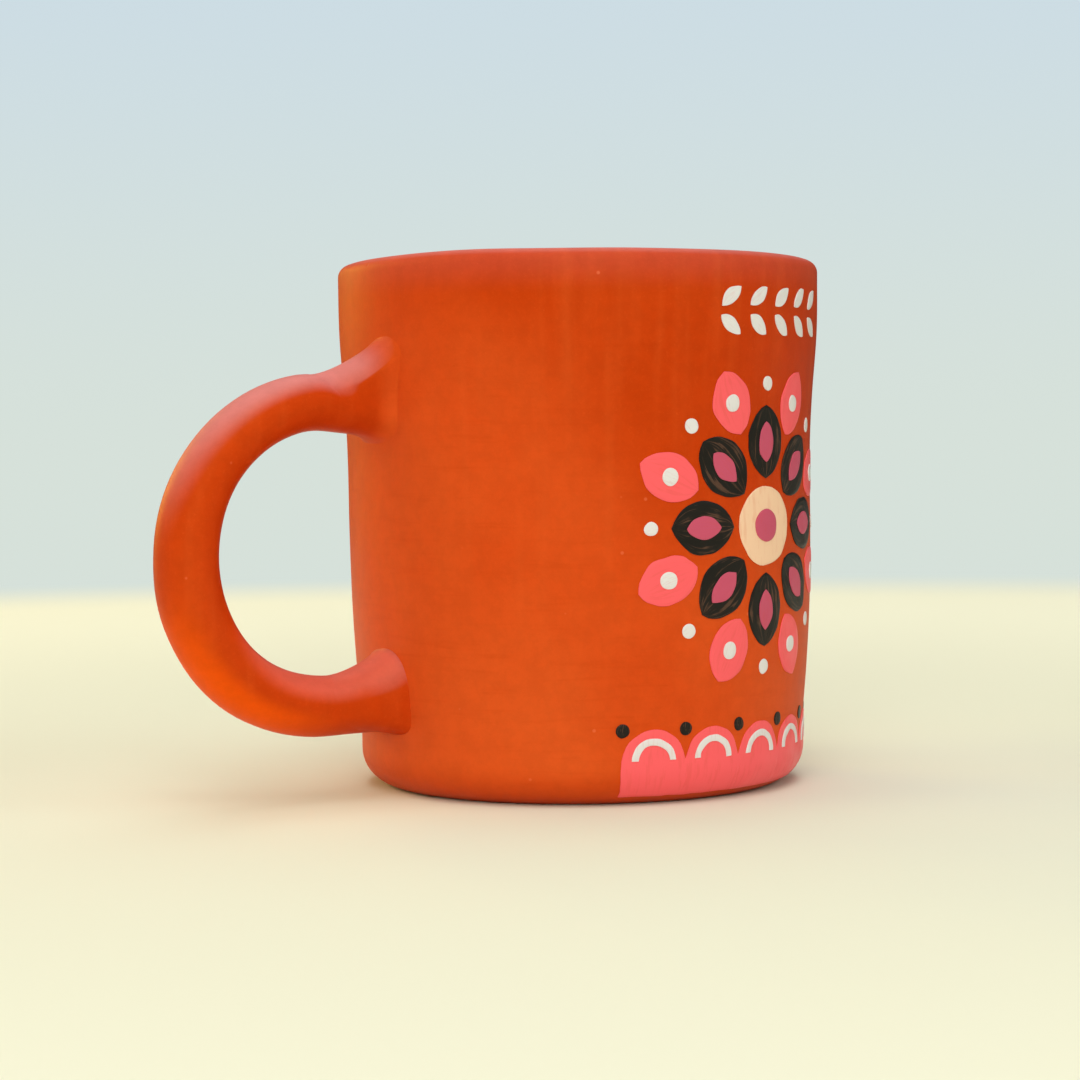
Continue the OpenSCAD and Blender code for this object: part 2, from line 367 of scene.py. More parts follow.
def stretched_noise(tree, coords, stretch, scale, detail, rough):
    """Noise drawn out along an axis of the piece."""
    mapped = add_node(tree, "Mapping", {"Vector": coords, "Scale": stretch})
    made = add_node(
        tree,
        "TexNoise",
        {"Vector": mapped.outputs[0], "Scale": scale, "Detail": detail, "Roughness": rough},
    )
    return made.outputs["Fac"]


def span(tree, value, low, high, to_low=0.0, to_high=1.0, course="SMOOTHSTEP"):
    """Maps a value from one range to another, clamped, and eased unless the course is straight."""
    made = add_node(
        tree,
        "MapRange",
        {"Value": value, "From Min": low, "From Max": high, "To Min": to_low, "To Max": to_high},
        interpolation_type=course,
    )
    return made.outputs["Result"]


def maths(tree, operation, first, *others):
    """Joins values by one operation, one after another."""
    for other in others:
        first = add_node(tree, "Math", {0: first, 1: other}, operation=operation).outputs[0]
    return first


def new_material(name):
    material = bpy.data.materials.new(name)
    material.use_nodes = True
    tree = material.node_tree
    tree.nodes.clear()
    shader = add_node(tree, "BsdfPrincipled")
    add_node(tree, "OutputMaterial", {"Surface": shader.outputs[0]})
    return material, tree, shader


def sparse_grains(tree, coords, scale, size, share):
    """Small round grains, kept in only a share of the cells."""
    cells = add_node(tree, "TexVoronoi", {"Vector": coords, "Scale": scale}, feature="F1")
    grain = span(tree, cells.outputs["Distance"], size, size * 0.4)
    tone = add_node(tree, "SeparateColor", {0: cells.outputs["Color"]})
    kept = maths(tree, "LESS_THAN", tone.outputs[0], share)
    return maths(tree, "MULTIPLY", grain, kept)


# The side of the cup towards which the painted shade on the upper wall reaches lower
SHADED_SIDE = (0.848, -0.53, 0)
# The clay's noises: stretch along each axis, scale, detail and roughness
CLAY_NOISES = {
    "blotches": ((1, 1, 1), 26, 3, 0.6),
    "streaks": ((1, 1, 0.06), 330, 2, 0.5),
    "turning": ((0.08, 0.08, 1), 900, 3, 0.6),
    "grain": ((1, 1, 1), 2600, 2, 0.6),
    "mottle": ((1, 1, 1), 330, 4, 0.7),
}


def clay_surface(tree, sizes):
    """What the clay's colours go by: its places, distances off the wall, directions, noises and grains."""
    surface = add_node(tree, "TexCoord")
    coords = surface.outputs["Object"]
    height = add_node(tree, "SeparateXYZ", {0: coords}).outputs["Z"]
    around = add_node(tree, "Mapping", {"Vector": coords, "Scale": (1, 1, 0)}).outputs[0]
    away = add_node(tree, "VectorMath", {0: around}, operation="LENGTH").outputs["Value"]
    wall = span(tree, height, 0, sizes.height, sizes.foot_r, sizes.mouth_r, "LINEAR")
    facing = add_node(tree, "SeparateXYZ", {0: surface.outputs["Normal"]})
    return SimpleNamespace(
        coords=coords,
        height=height,
        off=maths(tree, "SUBTRACT", away, wall),
        outward=facing.outputs["X"],
        rise=facing.outputs["Z"],
        dark_grains=sparse_grains(tree, coords, 170, 0.09, 0.08),
        pale_grains=sparse_grains(tree, coords, 260, 0.1, 0.3),
        **{name: stretched_noise(tree, coords, *kind) for name, kind in CLAY_NOISES.items()},
    )


def clay_tone(tree, clay, finishes, sizes, shade_reach):
    """Colour of the clay under its painted sheen, layer by layer.

    It carries painted shade: deeper on the upper wall, towards one side, from one of the given distances
    off the wall to the other and towards the foot. It carries painted light too: lighter low on the other
    side, and a bright orange low on the handle in place of light that reaches it from the floor and from
    above.
    """
    top = sizes.height
    # Painted shade and light: the wall is darker the higher it is and the more it faces the shaded side,
    # and lighter low down on the other side.
    side = add_node(tree, "VectorMath", {0: clay.coords, 1: SHADED_SIDE}, operation="DOT_PRODUCT")
    lean = span(tree, side.outputs["Value"], -30 * MM, 30 * MM, -0.27 * top, 0.2 * top)
    shade_level = maths(tree, "ADD", clay.height, lean)
    upper = span(tree, shade_level, top * 0.45, top * 0.84, 0, 0.95)
    # Painted shade: the handle and the joints darken from the first of the given distances off the wall to
    # the second.
    outer = span(tree, clay.off, *shade_reach, 0, 0.85)
    patchy = span(tree, clay.blotches, 0.75, 0.3, 0.8, 1)
    painted_shade = maths(tree, "MULTIPLY", maths(tree, "MAXIMUM", upper, outer), patchy)
    # Painted light: faces that look down far from the wall, and faces that look up off the wall, low on
    # the mug, are given a bright orange in place of light reaching them.
    looks_up = span(tree, clay.rise, 0.1, 0.7, 0, 0.5)
    above = maths(tree, "MULTIPLY", looks_up, span(tree, clay.off, 0, 1 * MM))
    looks_down = span(tree, clay.rise, 0, -0.6)
    below = maths(tree, "MULTIPLY", looks_down, span(tree, clay.off, 8 * MM, 26 * MM))
    low = span(tree, clay.height, top * 0.54, top * 0.31)
    painted_bounce_share = maths(tree, "MULTIPLY", maths(tree, "MAXIMUM", below, above), low)
    tone = opaque(finishes.clay)
    for share, layer in (
        (span(tree, clay.blotches, 0.35, 0.75, 0, 0.6), finishes.clay_light),
        # Painted light: lighter low on the wall and away from the shaded side.
        (span(tree, shade_level, top * 0.3, top * -0.05, 0, 0.6), finishes.clay_light),
        # Painted shade: the dark clay colour laid by the shade mask.
        (painted_shade, finishes.clay_dark),
        (span(tree, clay.streaks, 0.45, 0.9, 0, 0.3), finishes.clay_light),
        (span(tree, clay.turning, 0.5, 0.9, 0, 0.3), finishes.clay_dark),
        (span(tree, clay.grain, 0.55, 0.8, 0, 0.22), finishes.clay_light),
        (maths(tree, "MULTIPLY", clay.pale_grains, 0.4), finishes.speck),
        (maths(tree, "MULTIPLY", clay.dark_grains, 0.55), finishes.clay_dark),
        # Painted shade: darker towards the foot, where the contact shadow on the table falls.
        (span(tree, clay.height, 7 * MM, 1 * MM, 0, 0.5), finishes.clay_dark),
        # Painted light: the bright orange laid by that mask.
        (painted_bounce_share, finishes.painted_bounce),
    ):
        tone = blend(tree, share, tone, opaque(layer))
    return tone


def painted_sheen_share(tree, clay, sizes):
    """How much painted sheen lies on the clay, standing in for the sky's reflection: most on faces that
    look up, little close to the wall.
    """
    top = sizes.height
    outwards = maths(tree, "MULTIPLY", clay.outward, span(tree, clay.off, 4 * MM, 14 * MM, 0, -0.22))
    sheltered = maths(
        tree,
        "MULTIPLY",
        span(tree, clay.off, 1 * MM, 13 * MM, 0.5, 0),
        span(tree, clay.rise, 0, 0.25),
        span(tree, clay.height, top - 12 * MM, top - 6 * MM, 1, 0),
    )
    low = span(tree, clay.height, top * 0.3, top * 0.65, 0.26, 0)
    turned = maths(tree, "ADD", clay.rise, outwards, maths(tree, "MAXIMUM", sheltered, low))
    sheen_by_height = span(tree, clay.height, top * 0.2, top * 0.6, 0.42, 1)
    kept = maths(
        tree,
        "MAXIMUM",
        span(tree, clay.off, 0.3 * MM, 5 * MM, 0.12, 1),
        span(tree, clay.height, top - 8 * MM, top - 2 * MM, 0, 0.45),
        span(tree, clay.height, top * 0.3, top * 0.6, 1, 0),
    )
    painted_sheen = maths(tree, "MULTIPLY", span(tree, turned, 0.38, 0.95), sheen_by_height, kept)
    # A band just below the rim takes a little of the same pale colour, partly as dust on the rim and
    # partly as painted sheen.
    rim_dust_and_sheen = span(tree, clay.height, top - 7 * MM, top - 1 * MM, 0, 0.13)
    patchy = span(tree, clay.blotches, 0.3, 0.7, 0.85, 1)
    return maths(tree, "MULTIPLY", maths(tree, "MAXIMUM", painted_sheen, rim_dust_and_sheen), patchy)


def fired_clay(finishes, sizes, name, shade_reach):
    """Burnished earthenware, its tone deepened by painted shade from one of two distances off the wall to
    the other, with painted sheen on faces that look up.
    """
    material, tree, shader = new_material(name)
    clay = clay_surface(tree, sizes)
    tone = clay_tone(tree, clay, finishes, sizes, shade_reach)
    # Painted sheen: the pale colour is mixed in where the faces look up.
    tone = blend(tree, painted_sheen_share(tree, clay, sizes), tone, opaque(finishes.painted_sheen))
    level = span(tree, clay.mottle, 0.3, 0.7, 0.955, 1.045)
    fine = maths(tree, "MULTIPLY", clay.grain, 0.5)
    turned = maths(tree, "MULTIPLY", clay.turning, 0.35)
    pits = maths(tree, "MULTIPLY", clay.dark_grains, 0.9)
    relief = maths(tree, "SUBTRACT", maths(tree, "ADD", fine, turned), pits)
    bump = add_node(tree, "Bump", {"Strength": 0.35, "Distance": 0.12 * MM, "Height": relief})
    set_inputs(
        tree,
        shader,
        {
            "Base Color": blend(tree, 1.0, tone, level, "MULTIPLY"),
            "Roughness": span(tree, clay.blotches, 0.3, 0.75, 0.43, 0.53),
            "IOR": 1.22,
            "Specular IOR Level": 0.5,
            "Specular Tint": (1.0, 0.55, 0.12, 1.0),
            "Normal": bump.outputs[0],
        },
    )
    return material


# How dry the brush ran with each paint, from 0 to 1
DRYNESS = {"black": 0.85, "peach": 0.55, "pink": 0.5, "rose": 0.5, "white": 0.5}
# Share of the clay's colour in a thin place
SHOW_THROUGH = 0.3


def paint_for(colours, paint):
    """The material of one paint, made once."""
    name = "brushed_" + paint
    made = bpy.data.materials.get(name)
    if made:
        return made
    full = Vector(getattr(colours, paint))
    thin = full.lerp(Vector(colours.clay), SHOW_THROUGH)
    if paint == "black":
        thin = Vector(colours.black_thin)
    return brushed_paint(name, full, thin, DRYNESS[paint])


def brushed_paint(name, full, thin, dryness):
    """Satin paint laid on with a brush: streaks along each stroke, thin places and small ridges."""
    material, tree, shader = new_material(name)
    coords = add_node(tree, "TexCoord")
    stroke = add_node(tree, "Mapping", {"Vector": coords.outputs["UV"], "Scale": (16, 1.6, 1)})
    drift = add_node(tree, "Mapping", {"Vector": coords.outputs["Object"], "Scale": (90, 90, 90)})
    path = add_node(
        tree, "VectorMath", {0: stroke.outputs[0], 1: drift.outputs[0]}, operation="ADD"
    )
    bristles = stretched_noise(tree, path.outputs[0], (1, 1, 1), 1.0, 4.0, 0.62)
    pools = stretched_noise(tree, coords.outputs["Object"], (1, 1, 1), 260, 2, 0.5)
    dry = maths(tree, "ADD", span(tree, bristles, 0.46, 0.64), span(tree, pools, 0.42, 0.7, -0.4, 0.2))
    bump = add_node(tree, "Bump", {"Strength": 0.4, "Distance": 0.05 * MM, "Height": bristles})
    set_inputs(
        tree,
        shader,
        {
            "Base Color": blend(tree, span(tree, dry, 0.1, 1.0, 0, dryness), opaque(full), opaque(thin)),
            "Roughness": span(tree, pools, 0.3, 0.7, 0.36, 0.52),
            "Specular IOR Level": 0.2,
            "Normal": bump.outputs[0],
        },
    )
    return material


# The cup, thrown on the wheel

# Heights where the potter's fingers swelled or drew in the wall, the change in radius and its reach
SWELLS = (
    (79 * MM, 0.28 * MM, 12 * MM),
    (60 * MM, -0.28 * MM, 16 * MM),
    (33 * MM, 0.30 * MM, 20 * MM),
    (10 * MM, -0.22 * MM, 9 * MM),
)
RING_STEP = 2 * MM
RING_SLACK = 0.05 * MM
# Where the rim stands a little high: its direction, its rise and the reach of it
RIM_RISE = (math.radians(222), 0.32 * MM, 34 * MM)
# Cosine of the turn to each side of that direction within which the rim is lifted
RIM_PART = 0.98
THROWING_PITCH = 6.5 * MM
THROWING_DEPTH = 0.32 * MM
# Depths behind the wall's line that tell its outer face from its inner one
OUTER_FACE = 1 * MM
INNER_FACE = 3 * MM
# Rounds at the edge of the hollow and in its corner
HOLLOW_EDGE = 0.4 * MM
HOLLOW_CORNER = 0.6 * MM
# Rings in the floor and in the hollow
FLAT_RINGS = 9
# Share of a normal along Z from which its face counts as flat
FLAT = 0.9
WALL_WAVES = 34 * MM


def wall_radius(sizes, z, grow=0.0):
    """Radius of the wall's straight line at height z, moved outwards by grow."""
    slope = (sizes.mouth_r - sizes.foot_r) / sizes.height
    return sizes.foot_r + z * slope + grow * math.hypot(1, slope)


def inner_radius(sizes, z):
    return wall_radius(sizes, z, -sizes.wall)


def widen(factor):
    bpy.ops.transform.resize(value=(factor, factor, 1))


def push_in(depth):
    bpy.ops.mesh.extrude_region_move(TRANSFORM_OT_translate={"value": (0, 0, depth)})


def cup_blank(sizes):
    """Raises the wall, opens the room inside and turns the foot, all with sharp edges."""
    inner_mouth = inner_radius(sizes, sizes.height)
    bpy.ops.mesh.primitive_cylinder_add(
        vertices=sizes.sides, radius=sizes.foot_r, depth=sizes.height, location=(0, 0, sizes.height / 2)
    )
    cup = named("thrown_cup")
    place_in_mesh(cup)
    edit(cup)
    pick_faces(cup, lambda place, normal: normal.z > FLAT)
    widen(sizes.mouth_r / sizes.foot_r)
    bpy.ops.mesh.inset(thickness=sizes.mouth_r - inner_mouth)
    push_in(sizes.floor - sizes.height)
    widen(inner_radius(sizes, sizes.floor) / inner_mouth)
    pick_faces(cup, lambda place, normal: normal.z < -FLAT)
    bpy.ops.mesh.inset(thickness=sizes.foot_r - sizes.hollow_r)
    push_in(sizes.hollow_depth)
    widen(1 - sizes.hollow_depth / sizes.hollow_r)
    return cup


def rings_inwards(cup, z, side, face_r):
    """Divides the flat round face at height z, seen from one side, into rings and a fan at its middle."""
    pick_faces(cup, lambda p, n: near(p.z, z) and n.z * side > FLAT and radius(p) < 1 * MM)
    for _ in range(FLAT_RINGS - 1):
        bpy.ops.mesh.inset(thickness=face_r / FLAT_RINGS)
    bpy.ops.mesh.poke()


def round_edges(cup, sizes):
    """Rounds every edge that runs round the cup and divides its flat faces."""
    inner_floor = inner_radius(sizes, sizes.floor)
    under = sizes.hollow_r - sizes.hollow_depth
    for ring_r, z, size, segments in (
        (sizes.foot_r, 0, sizes.foot_round, 12),
        (sizes.mouth_r, sizes.height, sizes.rim_outer, 8),
        (inner_radius(sizes, sizes.height), sizes.height, sizes.rim_inner, 5),
        (inner_floor, sizes.floor, sizes.floor_round, 12),
        (sizes.hollow_r, 0, HOLLOW_EDGE, 3),
        (under, sizes.hollow_depth, HOLLOW_CORNER, 3),
    ):
        pick_edges(cup, lambda p: near(radius(p), ring_r, RING_SLACK) and near(p.z, z))
        bpy.ops.mesh.bevel(offset=size, segments=segments, profile=0.5, affect="EDGES")
    rings_inwards(cup, sizes.floor, 1, inner_floor - sizes.floor_round)
    rings_inwards(cup, sizes.hollow_depth, -1, under)


def swell_ring(cup, level, on_face, change, reach):
    """Swells or draws in the ring at a level of one face of the wall, and its neighbours less and less."""
    pick_verts(cup, lambda p: near(p.z, level) and on_face(radius(p)))
    picked = next(v.co for v in bmesh.from_edit_mesh(cup.data).verts if v.select)
    factor = 1 + change / radius(picked)
    bpy.ops.transform.resize(value=(factor, factor, 1), center_override=(0, 0, picked.z), **easing(reach))


def work_wall(cup, sizes):
    """Swells the wall here and there, lifts the rim a little and leaves throwing rings inside."""
    cuts = int((sizes.height - sizes.foot_round - sizes.rim_outer) / RING_STEP)
    for k in range(1, cuts):
        pick_all()
        bpy.ops.mesh.bisect(plane_co=(0, 0, sizes.foot_round + k * RING_STEP), plane_no=UP)

    def ring_at(z):
        return sizes.foot_round + round((z - sizes.foot_round) / RING_STEP) * RING_STEP

    for z, change, reach in SWELLS:
        level = ring_at(z)
        outside = wall_radius(sizes, level, -OUTER_FACE)
        swell_ring(cup, level, lambda r: r > outside, change, reach)
    turn, rise, reach = RIM_RISE
    high = Vector((math.cos(turn), math.sin(turn), 0))
    pick_verts(cup, lambda p: near(p.z, sizes.height) and p.dot(high) > radius(p) * RIM_PART)
    bpy.ops.transform.translate(value=(0, 0, rise), **easing(reach))
    lowest = sizes.floor + sizes.floor_round
    for k in range(1, int((sizes.height - lowest) / THROWING_PITCH)):
        level = ring_at(lowest + k * THROWING_PITCH)
        inside = wall_radius(sizes, level, -INNER_FACE)
        swell_ring(cup, level, lambda r: r < inside, THROWING_DEPTH, THROWING_PITCH / 2)


def throw_cup(sizes):
    """Throws the cup: a blank whose edges are rounded and whose wall the fingers work."""
    cup = cup_blank(sizes)
    round_edges(cup, sizes)
    work_wall(cup, sizes)
    close()
    shaped = cup.vertex_groups.new(name="shaped")
    for vert in cup.data.vertices:
        shaped.add([vert.index], min(1.0, max(0.0, vert.co.z / sizes.foot_round)), "REPLACE")
    uneven(cup, "waver", WALL_WAVES, sizes.waver, "shaped")
    smooth(cup)
    return cup


# The handle, pulled and bent

BEND_STEPS = 56
RUN_STEPS = 6
SECTION_SIDES = 56
# Share of a step of the bend within which a point belongs to a section
SECTION_SLACK = 0.45
COIL_WELD = 0.001 * MM
EMBED = 0.9 * MM
# How far from the upper end its droop and its taper reach
DROOP_REACH = 15 * MM
TAPER_REACH = 16 * MM
# Size and depth of the coil's slow unevenness
COIL_WAVES = 24 * MM
COIL_WAVER = 0.45 * MM
# Places round the bend, from its top, where the coil is slimmer, fuller or sags outwards, and their reach
FULLNESS = (
    (math.radians(12), 0.985, 0.0, 16 * MM),
    (math.radians(90), 1.06, -0.05 * MM, 18 * MM),
    (math.radians(122), 1.09, 0.25 * MM, 18 * MM),
    (math.radians(148), 1.03, 0.5 * MM, 19 * MM),
    (math.radians(164), 1.04, -0.2 * MM, 14 * MM),
)


def draw_out(change):
    """Draws out the picked end of the coil along X."""
    for _ in range(RUN_STEPS):
        bpy.ops.mesh.extrude_edges_move(TRANSFORM_OT_translate={"value": (change / RUN_STEPS, 0, 0)})


def pull_handle(sizes, cup_sizes):
    """Draws out an oval coil, bends it and works its ends and its fullness."""
    upper_z = HANDLE_HIGH.z - sizes.thick / 2
    lower_z = HANDLE_LOW.z + sizes.thick / 2
    bend_r = (upper_z - lower_z) / 2
    bend = Vector((HANDLE_LOW.x + sizes.thick / 2 + bend_r, 0, (upper_z + lower_z) / 2))
    upper_end = -wall_radius(cup_sizes, upper_z, -EMBED)
    lower_end = -wall_radius(cup_sizes, lower_z, -EMBED)

    bpy.ops.mesh.primitive_circle_add(vertices=SECTION_SIDES, radius=sizes.thick / 2, fill_type="NOTHING")
    handle = named("pulled_handle")
    edit(handle)
    pick_all()
    bpy.ops.transform.resize(value=(1, sizes.wide / sizes.thick, 1))
    bpy.ops.transform.rotate(value=math.pi / 2, orient_axis="Y", center_override=(0, 0, 0))
    bpy.ops.transform.translate(value=(upper_end, 0, upper_z))
    draw_out(bend.x - upper_end)
    bpy.ops.mesh.spin(steps=BEND_STEPS, angle=math.pi, center=bend, axis=(0, 1, 0))
    draw_out(lower_end - bend.x)
    pick_all()
    bpy.ops.mesh.remove_doubles(threshold=COIL_WELD)
    bpy.ops.mesh.fill_holes(sides=0)
    pick_all()
    bpy.ops.mesh.normals_make_consistent(inside=False)

    step = math.pi / BEND_STEPS
    slack = step * SECTION_SLACK
    for turn, factor, sag, reach in FULLNESS:
        level = round(turn / step) * step
        outward = Vector((-math.sin(level), 0, math.cos(level)))
        pick_verts(handle, lambda p: near(math.atan2(bend.x - p.x, p.z - bend.z), level, slack))
        bpy.ops.transform.resize(
            value=(factor, 1, factor), center_override=bend + bend_r * outward, **easing(reach)
        )
        bpy.ops.transform.translate(value=sag * outward, **easing(reach))
    pick_verts(handle, lambda p: near(p.x, upper_end) and p.z > bend.z)
    bpy.ops.transform.translate(value=(0, 0, -sizes.droop), **easing(DROOP_REACH))
    top = Vector((upper_end, 0, HANDLE_HIGH.z - sizes.droop))
    bpy.ops.transform.resize(value=(1, 1, sizes.end_taper), center_override=top, **easing(TAPER_REACH))
    close()
    uneven(handle, "waver", COIL_WAVES, COIL_WAVER)
    smooth(handle)
    return handle


# The joints, luted with slip

JOINT_SIDES = 144
FILLET_RINGS = 16
RING_GAP = 10 * MM
# Where the rays that find a surface start, off the cup's axis and off the handle's middle
CUP_RAY = 80 * MM
HANDLE_RAY = 12 * MM
# How deep a fillet's ends tuck into what they touch, and how far ahead its line along the handle is taken
TUCK = 0.03 * MM
AHEAD = 0.2
# A joint's hidden rings: two in the wall, wider and deeper, and two at a share of the handle's section
SHALLOW = 0.3 * MM
DEEP = 0.6 * MM
BURIED = ((1.003, SHALLOW), (1.012, DEEP))
CORE = 0.7
# Rise on an outline, as a share of its top, from which it has all its spread
FULL_SPREAD = 0.6
JOINT_CREASE = math.radians(40)


def skin_of(piece):
    """The surface of a finished piece, for finding places on it."""
    shape = bmesh.new()
    shape.from_mesh(piece.data)
    skin = BVHTree.FromBMesh(shape)
    shape.free()
    return skin


def on_wall(skin, turn, z, lift=0.0):
    """Place on the cup's outer wall in a direction and at a height, lifted off it."""
    outward = Vector((math.cos(turn), math.sin(turn), 0))
    hit = skin.ray_cast(outward * CUP_RAY + UP * z, -outward)[0]
    return hit + outward * lift


def on_handle(skin, x, z, angle, lift=0.0):
    """Place on the handle's surface, at an angle from +Y to +Z round a point of its middle plane."""
    outward = Vector((0, math.cos(angle), math.sin(angle)))
    hit = skin.ray_cast(Vector((x, 0, z)) + outward * HANDLE_RAY, -outward)[0]
    return hit + outward * lift


def tube_blank(name, rings):
    """A plain tube of rings, closed end to end into a loop."""
    bpy.ops.mesh.primitive_circle_add(vertices=JOINT_SIDES, radius=RING_GAP, fill_type="NOTHING")
    tube = named(name)
    edit(tube, "EDGE")
    pick_all()
    for _ in range(rings - 1):
        bpy.ops.mesh.extrude_edges_move(TRANSFORM_OT_translate={"value": (0, 0, RING_GAP)})
    last = (rings - 1) * RING_GAP
    pick_edges(tube, lambda p: near(p.z, 0) or near(p.z, last))
    bpy.ops.mesh.bridge_edge_loops()
    close()
    return tube


def eased(angle, above, beside, below):
    """A value that changes smoothly from beside the handle to above or below it."""
    return beside + ((above if math.sin(angle) > 0 else below) - beside) * math.sin(angle) ** 2


def rounded(angle, wide, spread, above, below, upper_bows, lower_bow, leans):
    """Place at an angle on an oval outline that spreads above its middle on the -Y side.

    A bow of 1 gives a plain oval, and a smaller one gives squarer corners. The upper bows and the leans,
    which lower the top, are given for the -Y side and for the +Y side.
    """
    c, s = math.cos(angle), math.sin(angle)
    far = c > 0
    half_wide = wide if far else wide + (spread - wide) * min(1, max(0, s / FULL_SPREAD)) ** 2
    bow = upper_bows[far] if s > 0 else lower_bow
    u = math.copysign(half_wide * abs(c) ** bow, c)
    tall = above - leans[far] * abs(u) if s > 0 else below
    return u, math.copysign(tall * abs(s) ** bow, s)


def lute_joint(name, cup_skin, handle_skin, root_z, outline, reach, leave, land, step):
    """Smooths clay from the handle's end out over the wall.

    Each of reach, leave and land is given above, beside and below the handle: how far from the wall the
    clay starts, how long it follows the handle and how softly it runs out on the wall. Its edge stands a
    step high.
    """
    wall_x = on_wall(cup_skin, math.pi, root_z).x
    wall_r = -wall_x
    tube = tube_blank(name, FILLET_RINGS + len(BURIED) + 3)

    def wall_place(u, w, lift):
        return on_wall(cup_skin, math.pi - u / wall_r, root_z + w, lift)

    def fillet(share, angle):
        far = eased(angle, *reach)
        start = on_handle(handle_skin, wall_x - far, root_z, angle, -TUCK)
        ahead = on_handle(handle_skin, wall_x - far * (1 - AHEAD), root_z, angle, -TUCK)
        corner = wall_place(wall_r * math.asin(start.y / wall_r), start.z - root_z, step)
        end = wall_place(*rounded(angle, **outline), step - TUCK)
        outward = Vector((end.x, end.y, 0)).normalized()
        along = corner - end
        along -= outward * along.dot(outward)
        first = start + (ahead - start) / AHEAD * eased(angle, *leave)
        last = end + along * eased(angle, *land)
        left = 1 - share
        return left**3 * start + 3 * left**2 * share * first + 3 * left * share**2 * last + share**3 * end

    def place(angle, ring):
        if ring <= FILLET_RINGS:
            return fillet(ring / FILLET_RINGS, angle)
        hidden = ring - FILLET_RINGS - 1
        if hidden < len(BURIED):
            grow, depth = BURIED[hidden]
            u, w = rounded(angle, **outline)
            return wall_place(u * grow, w * grow, -depth)
        if hidden == len(BURIED):
            middle = Vector((wall_x, 0, root_z))
            touch = on_handle(handle_skin, wall_x - SHALLOW, root_z, angle)
            return middle + CORE * (touch - middle) + Vector((DEEP, 0, 0))
        start = fillet(0, angle)
        axis = Vector((start.x, 0, root_z))
        return axis + CORE * (start - axis)

    for vert in tube.data.vertices:
        vert.co = place(math.atan2(vert.co.y, vert.co.x), round(vert.co.z / RING_GAP))
    edit(tube)
    pick_all()
    bpy.ops.mesh.normals_make_consistent(inside=False)
    close()
    smooth(tube, JOINT_CREASE)
    return tube


# The painting

FLOWER_TURN = math.atan2(CORE_MIDDLE.y, CORE_MIDDLE.x)
FLOWER_Z = CORE_MIDDLE.z
SPRIG_Z = (SPRIG_LOW.z + SPRIG_HIGH.z) / 2
# Distance off the wall from which a shape is pressed onto it
CLEAR = 3 * MM
DISC_SIDES = 48
DISC_RING = 0.7 * MM
PETAL_COLUMNS = 10
PETAL_ROWS = 24
PETAL_WELD = 0.02 * MM
TONGUE_COLUMNS = 24
TONGUE_ROWS = 18
TONGUE_WELD = 0.12 * MM
ARC_SIDES = 96
WOBBLE_WAVES = 3.2 * MM
# Shares of a coat's thickness: how much of it the next coat lies above, and the round of its edge
COAT_RISE = 0.9
COAT_ROUND = 0.35
EDGE_TURN = math.radians(50)
PAINT_CREASE = math.radians(60)


def flat_round(sides, r):
    """A flat round of paint, open for shaping and all picked."""
    bpy.ops.mesh.primitive_circle_add(vertices=sides, radius=r, fill_type="NGON")
    patch = bpy.context.object
    edit(patch, "FACE")
    pick_all()
    return patch


def disc(d):
    """A flat round of paint, in rings."""
    patch = flat_round(DISC_SIDES, d / 2)
    rings = max(2, round(d / 2 / DISC_RING))
    for _ in range(rings - 1):
        bpy.ops.mesh.inset(thickness=d / 2 / rings)
    bpy.ops.mesh.poke()
    close()
    return patch


def flat_grid(width, tall, columns, rows):
    """A flat rectangle of paint in columns and rows, centred."""
    bpy.ops.mesh.primitive_grid_add(x_subdivisions=columns, y_subdivisions=rows, size=1)
    patch = bpy.context.object
    patch.scale = (width, tall, 1)
    place_in_mesh(patch)
    return patch


def petal(l, w):
    """A flat petal of paint, its sides two arcs, its length along Y."""
    patch = flat_grid(w, l, PETAL_COLUMNS, PETAL_ROWS)
    side_r = (l**2 + w**2) / (4 * w)
    edit(patch)
    for k in range(PETAL_ROWS + 1):
        y = l * (k / PETAL_ROWS - 0.5)
        half = math.sqrt(side_r**2 - y**2) - side_r + w / 2
        pick_verts(patch, lambda p: near(p.y, y))
        bpy.ops.transform.resize(value=(2 * half / w, 1, 1), center_override=(0, 0, 0))
    pick_all()
    bpy.ops.mesh.remove_doubles(threshold=PETAL_WELD)
    close()
    return patch


def lay_on_wall(cup, cup_sizes, patch, places):
    """Copies a flat shape to places along the wall and presses each copy onto it."""
    copies = []
    for u, z, spin in places:
        only(patch)
        bpy.ops.object.duplicate()
        copy = bpy.context.object
        wall_r = wall_radius(cup_sizes, z)
        turn = FLOWER_TURN + u / wall_r
        outward = Vector((math.cos(turn), math.sin(turn), 0))
        stand = Matrix.Rotation(turn + math.pi / 2, 4, "Z") @ Matrix.Rotation(math.pi / 2, 4, "X")
        where = Matrix.Translation(outward * (wall_r + CLEAR) + UP * z)
        copy.matrix_world = where @ stand @ Matrix.Rotation(spin, 4, "Z")
        modify(
            copy, "press", "SHRINKWRAP", target=cup, wrap_method="PROJECT", use_project_z=True,
            use_positive_direction=False, use_negative_direction=True,
        )
        place_in_mesh(copy)
        copies.append(copy)
    bpy.data.objects.remove(patch)
    only(copies[0])
    for copy in copies:
        copy.select_set(True)
    if len(copies) > 1:
        bpy.ops.object.join()
    return bpy.context.object


